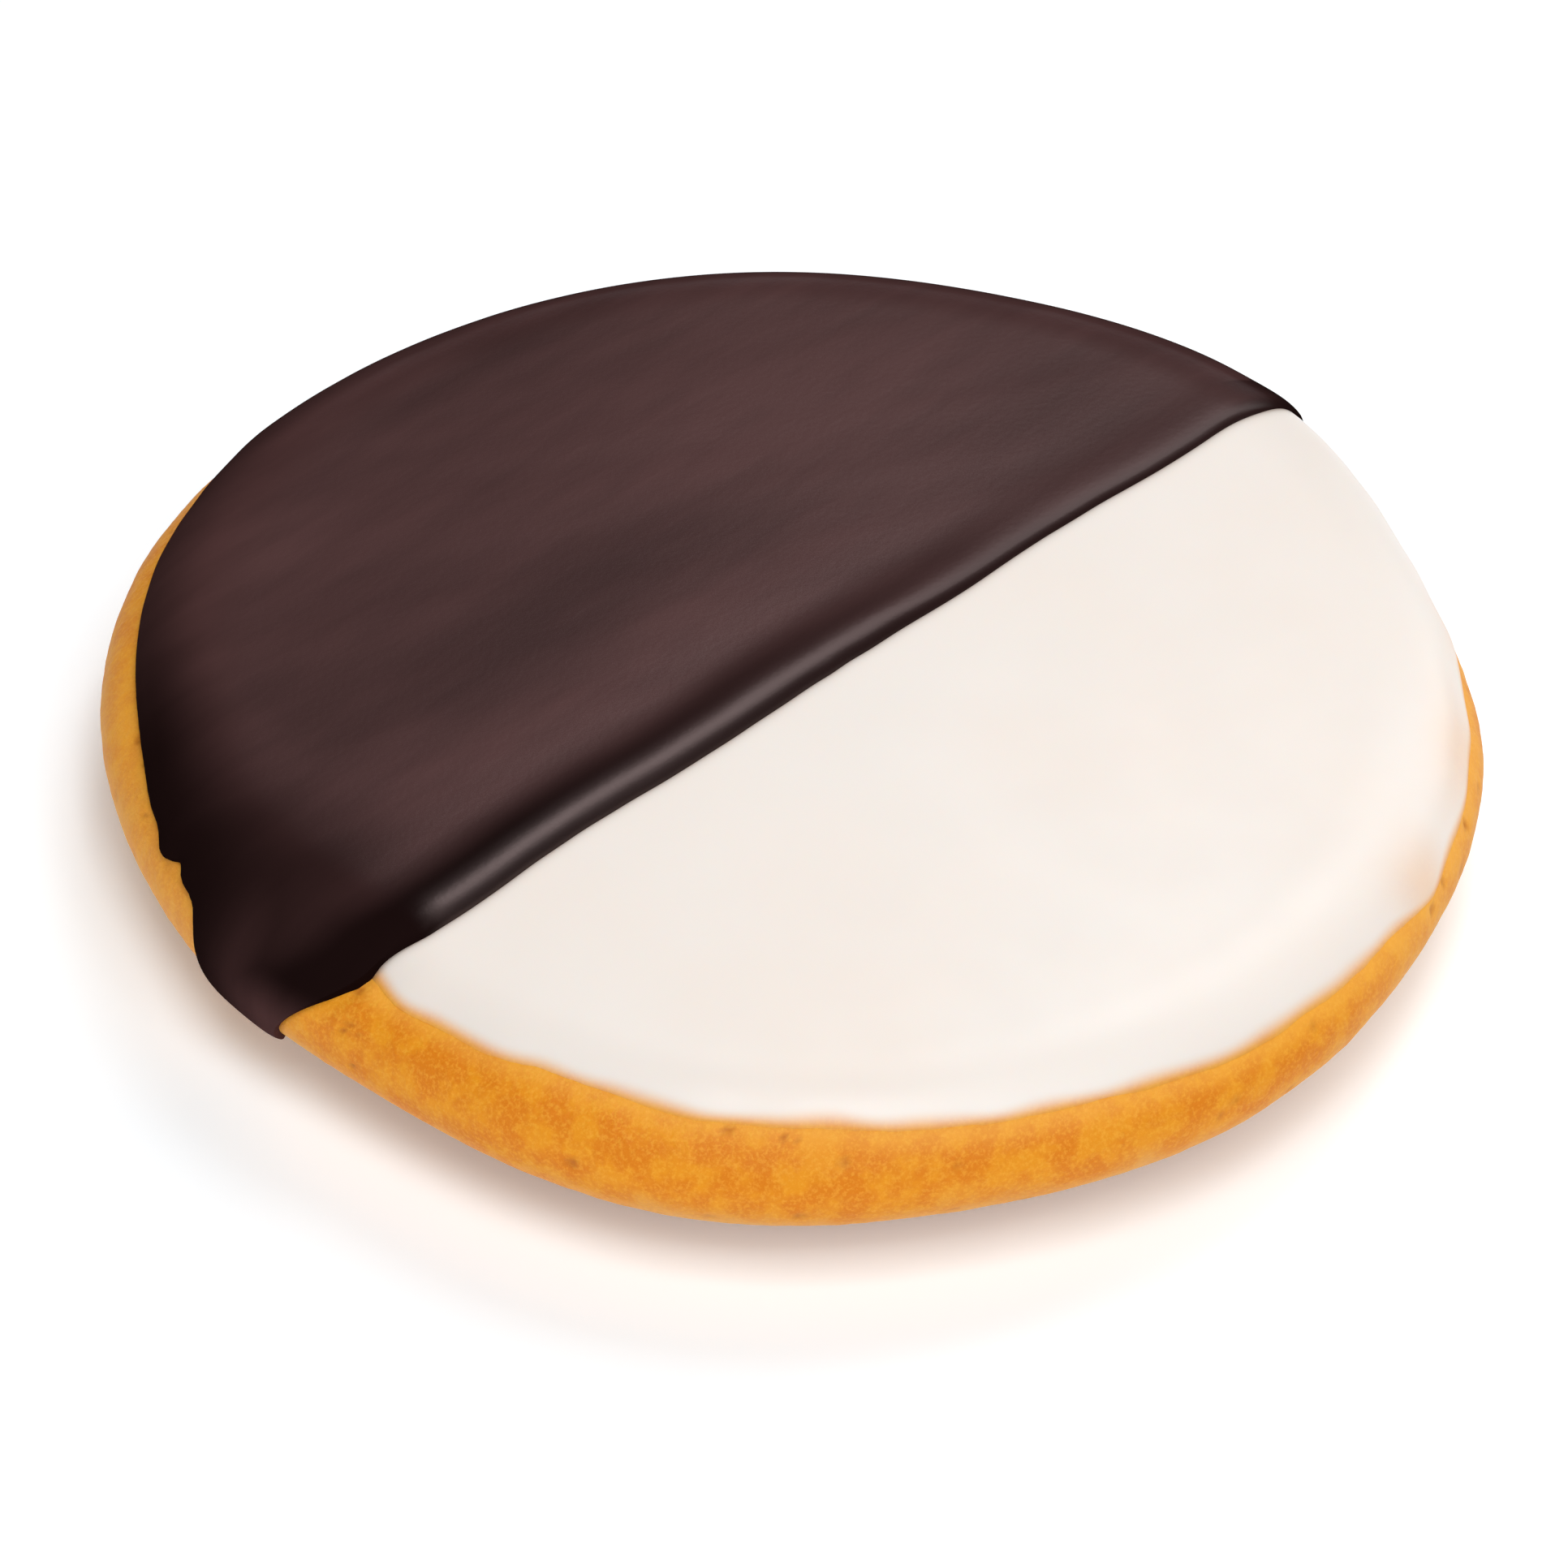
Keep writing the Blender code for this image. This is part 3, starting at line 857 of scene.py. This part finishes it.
# Paler and darker places of the painted sheen, as (x, away from the line, half length, half width, change)
PAINTED_SHEEN_PATCHES = (
    (-6.0 * MM, 12.0 * MM, 36.0 * MM, 3.2 * MM, 0.16),
    (-12.0 * MM, 21.5 * MM, 22.0 * MM, 5.5 * MM, -0.30),
    (20.0 * MM, 27.0 * MM, 20.0 * MM, 8.0 * MM, 0.30),
    (-18.0 * MM, 34.0 * MM, 9.0 * MM, 5.0 * MM, -0.10),
    (24.0 * MM, 40.0 * MM, 14.0 * MM, 3.0 * MM, 0.10),
    (-36.0 * MM, 28.0 * MM, 6.0 * MM, 8.0 * MM, -0.20),
    (8.0 * MM, 51.0 * MM, 16.0 * MM, 2.5 * MM, -0.22),
    (-47.0 * MM, 11.0 * MM, 6.0 * MM, 6.0 * MM, -0.25),
    (38.0 * MM, 10.0 * MM, 12.0 * MM, 8.0 * MM, -0.20),
)

# How much it shines, as the specular level of its finish
GLOSS_MOST = 0.8
GLOSS_FLAT = 0.2
GLOSS_RIM = (4.5 * MM, 10.0 * MM)
GLOSS_BEAD = 2.4 * MM
GLOSS_CLEARS = 4.5 * MM
GLOSS_END = 3.5 * MM
GLOSS_FADE = 0.95
GLOSS_FADES = (-36.0 * MM, 20.0 * MM)


class COOKIE_OT_chocolate_icing(bpy.types.Operator):
    """Model the chocolate icing: half a round with a rounded bead along the line and a tongue over the rim"""

    bl_idname = "cookie.chocolate_icing"
    bl_label = "Chocolate icing"

    def execute(self, context):
        form = context.scene.cookie_form
        icing = Icing(
            form, 1, CHOCOLATE_COLUMNS, CHOCOLATE_ROWS, CHOCOLATE_BUNCHING, chocolate_edge, 0.0
        )
        strokes = self.strokes(icing)
        flat = self.flat_part(icing)
        # Painted sheen and shade, as a share of the sheen colour
        float_attribute(icing.piece, "painted_sheen", self.painted_sheen(icing, strokes, flat))
        float_attribute(icing.piece, "gloss", self.gloss(icing, flat))
        icing.lay(self.thickness(form, icing, strokes) + form.gap + SUNK, SUNK)
        material = chocolate_material(context.scene.cookie_colours)
        finish_piece(icing.piece, "dark_chocolate_icing", material, "chocolate_icing")
        return {"FINISHED"}

    def strokes(self, icing):
        """Soft noise about 0, drawn out along the spatula's strokes."""
        along = icing.x * math.cos(STROKE_TURN) + icing.y * math.sin(STROKE_TURN)
        across = icing.y * math.cos(STROKE_TURN) - icing.x * math.sin(STROKE_TURN)
        points = np.stack([along / STROKE_LENGTH, across / STROKE_WIDTH, np.zeros_like(along)], -1)
        fine = noise_at(points * FINE_STROKE_FACTOR, 1.0, FINE_STROKE_SEED)
        return noise_at(points, 1.0, STROKE_SEED) + FINE_STROKE_HEIGHT * fine

    def thickness(self, form, icing, strokes):
        """Full on the flat part, raised in a bead along the line, and thinned over the rim."""
        past_crest = np.maximum(icing.from_split - BEAD_CREST, 0.0)
        bead = form.bead * np.exp(-((past_crest / BEAD_REACH) ** 2))
        bead *= 1 - smooth_step(BEAD_ENDS_FROM, BEAD_ENDS_TO, icing.x)
        valley = VALLEY_DEPTH * np.exp(-(((icing.from_split - VALLEY_AWAY) / VALLEY_REACH) ** 2))
        flattened = 1 - BEAD_FLATTENS * smooth_step(BEAD_FLATTENS_FROM, BEAD_FLATTENS_TO, icing.x)
        full = form.chocolate + (bead - valley) * flattened
        full += STROKE_HEIGHT * strokes * smooth_step(0.0, STROKE_FADE, icing.from_edge)
        full = SPLIT_EDGE_THICKNESS + (full - SPLIT_EDGE_THICKNESS) * rounded(icing.from_split, BEAD_CREST)
        thinned = THINNED * smooth_step(THINS_FROM, THINS_TO, icing.length)
        thinned *= 1 + THIN_TONGUE * smooth_step(THIN_TONGUE_FROM, THIN_TONGUE_TO, icing.x)
        edge = rounded(icing.from_edge, CHOCOLATE_EDGE_ROUND)
        return CHOCOLATE_EDGE_THICKNESS + (full * (1 - thinned) - CHOCOLATE_EDGE_THICKNESS) * edge

    def flat_part(self, icing):
        """1 on the flat part, 0 on the outer rim at the left, and between them on the far rim."""
        side = smooth_step(RIM_SIDE_FROM, RIM_SIDE_TO, icing.degrees)
        rim = RIM_FAR + RIM_SIDE * side + bump(icing.degrees, *RIM_TONGUE)
        kept = RIM_KEPT * (1 - side)
        return kept + (1 - kept) * smooth_step(0.0, 1.0, (icing.from_edge - RIM_DARK) / rim)

    def painted_sheen(self, icing, strokes, flat):
        """Painted sheen: uneven on the flat part, with painted shade by the bead and on the rim, and painted
        light on the tongue's tip.
        """
        # Painted shade beside the bead, stronger towards the left end
        bead_shade = np.clip(BEAD_SHADE_MIDDLE - icing.x / BEAD_SHADE_FALL, *BEAD_SHADE_RANGE)
        beside = 1 - bead_shade * (1 - smooth_step(BEAD_DARK, BEAD_SHADE_ENDS, icing.from_split))
        # Painted shade on the bead's front face
        beside *= 1 - FACE_DARK * (1 - smooth_step(*BEAD_FACE, icing.from_split))
        uneven = PAINTED_SHEEN_MEAN + PAINTED_SHEEN_STREAKS * strokes
        for x, away, half_length, half_width, change in PAINTED_SHEEN_PATCHES:
            reach = ((icing.x - x) / half_length) ** 2 + ((icing.from_split - away) / half_width) ** 2
            uneven += change * np.exp(-reach)
        # Painted light on the tongue's tip
        tip = bump(icing.degrees, *TIP_PAINTED_LIGHT) * (1 - smooth_step(*TIP_PAINTED_LIGHT_REACH, icing.from_edge))
        return np.clip(RIM_PAINTED_SHEEN + flat * beside * uneven + tip, 0.0, 1.0)

    def gloss(self, icing, flat):
        """How much it shines: most on the bead up to its left end, and hardly on the outer rim."""
        bead = 1 - smooth_step(GLOSS_BEAD, GLOSS_CLEARS, icing.from_split)
        bead *= 1 - GLOSS_FADE * smooth_step(*GLOSS_FADES, icing.x)
        level = flat * smooth_step(*GLOSS_RIM, icing.from_edge)
        shine = GLOSS_FLAT * level + (GLOSS_MOST - GLOSS_FLAT) * bead * level
        return shine * smooth_step(BEAD_ENDS_FROM - GLOSS_END, BEAD_ENDS_FROM, icing.x)


# The studio. A softbox is (name, azimuth and elevation it shines from in degrees, power in watts)
FOCAL_LENGTH = 134.9
SENSOR_WIDTH = 36.0
FRAME_SHIFT = (-0.0080, -0.0347)
CLIP_RANGE = (0.01, 20.0)
AIM_HEIGHT = 8.25 * MM
FLOOR_SIZE = 3.0
WORLD_STRENGTH = 0.0
FLOOR_COLOUR = (0.92, 0.965, 1.0)
FLOOR_GLOW = 0.19
WHITE_LIGHT = (1.0, 1.0, 1.0)
LAMP_DISTANCE = 0.9
LAMP_SIZE = 0.42
SOFTBOXES = (
    ("front_softbox", -18.0, 42.0, 2.65),
    ("overhead_softbox", -41.0, 66.0, 3.70),
    ("side_softbox", 114.0, 53.0, 2.75),
    ("right_softbox", 92.0, 27.0, 1.85),
    ("left_softbox", -105.0, 16.0, 1.35),
)


def direction(azimuth, elevation):
    """From the cookie towards a place in the studio. Azimuth 0 is at -Y, and 90 at +X."""
    level = math.cos(elevation)
    return Vector((math.sin(azimuth) * level, -math.cos(azimuth) * level, math.sin(elevation)))


def facing(place, towards):
    """Where a camera or a lamp stands, looking along -Z at this point."""
    turn = (towards - place).to_track_quat("-Z", "Y").to_matrix().to_4x4()
    return Matrix.Translation(place) @ turn


class COOKIE_OT_studio(bpy.types.Operator):
    """Set up the pale floor, the softboxes and the camera"""

    bl_idname = "cookie.studio"
    bl_label = "Studio"

    def execute(self, context):
        self.floor()
        aim = Vector((*-OUTLINE_MIDDLE, AIM_HEIGHT))
        self.camera(context.scene, aim)
        for lamp in SOFTBOXES:
            self.softbox(aim, *lamp)
        self.world(context.scene)
        context.scene.view_settings.view_transform = "Standard"
        return {"FINISHED"}

    def floor(self):
        deselect()
        bpy.ops.mesh.primitive_plane_add(size=FLOOR_SIZE)
        floor = bpy.context.object
        floor.name = "pale_floor"
        shader = Shader("pale_floor")
        shader.set(Base_Color=rgba(FLOOR_COLOUR), Roughness=0.9, Specular_IOR_Level=0.0)
        shader.set(Emission_Color=rgba(WHITE_LIGHT), Emission_Strength=FLOOR_GLOW)
        floor.data.materials.append(shader.material)

    def camera(self, scene, aim):
        studio = scene.cookie_studio
        back = direction(studio.azimuth, studio.elevation)
        deselect()
        bpy.ops.object.camera_add()
        camera = bpy.context.object
        camera.name = "photo_view"
        camera.matrix_world = facing(aim + back * studio.distance, aim)
        camera.data.lens = FOCAL_LENGTH
        camera.data.sensor_width = SENSOR_WIDTH
        camera.data.shift_x, camera.data.shift_y = FRAME_SHIFT
        camera.data.clip_start, camera.data.clip_end = CLIP_RANGE
        scene.camera = camera

    def softbox(self, aim, name, azimuth, elevation, power):
        deselect()
        bpy.ops.object.light_add(type="AREA")
        lamp = bpy.context.object
        lamp.name = name
        place = aim + direction(math.radians(azimuth), math.radians(elevation)) * LAMP_DISTANCE
        lamp.matrix_world = facing(place, aim)
        lamp.data.shape = "SQUARE"
        lamp.data.size = LAMP_SIZE
        lamp.data.energy = power

    def world(self, scene):
        world = bpy.data.worlds.new("studio_air")
        world.use_nodes = True
        background = world.node_tree.nodes["Background"]
        background.inputs["Color"].default_value = rgba(WHITE_LIGHT)
        background.inputs["Strength"].default_value = WORLD_STRENGTH
        scene.world = world


OPERATORS = (COOKIE_OT_cake, COOKIE_OT_white_icing, COOKIE_OT_chocolate_icing, COOKIE_OT_studio)


class COOKIE_PT_panel(bpy.types.Panel):
    """Sizes, colours and steps of the cookie"""

    bl_idname = "COOKIE_PT_panel"
    bl_label = "Black and white cookie"
    bl_space_type = "VIEW_3D"
    bl_region_type = "UI"
    bl_category = "Cookie"

    def draw(self, context):
        for group in (context.scene.cookie_form, context.scene.cookie_colours, context.scene.cookie_studio):
            box = self.layout.box()
            for name in group.__annotations__:
                box.prop(group, name)
        for operator in OPERATORS:
            self.layout.operator(operator.bl_idname)


GROUPS = {"cookie_form": CookieForm, "cookie_colours": CookieColours, "cookie_studio": CookieStudio}
CLASSES = (*GROUPS.values(), *OPERATORS, COOKIE_PT_panel)


def register():
    for each in CLASSES:
        bpy.utils.register_class(each)
    for name, group in GROUPS.items():
        setattr(bpy.types.Scene, name, bpy.props.PointerProperty(type=group))


def unregister():
    for name in GROUPS:
        delattr(bpy.types.Scene, name)
    for each in reversed(CLASSES):
        bpy.utils.unregister_class(each)


def main():
    register()
    bpy.ops.cookie.cake()
    bpy.ops.cookie.white_icing()
    bpy.ops.cookie.chocolate_icing()
    bpy.ops.cookie.studio()


if __name__ == "__main__":
    main()
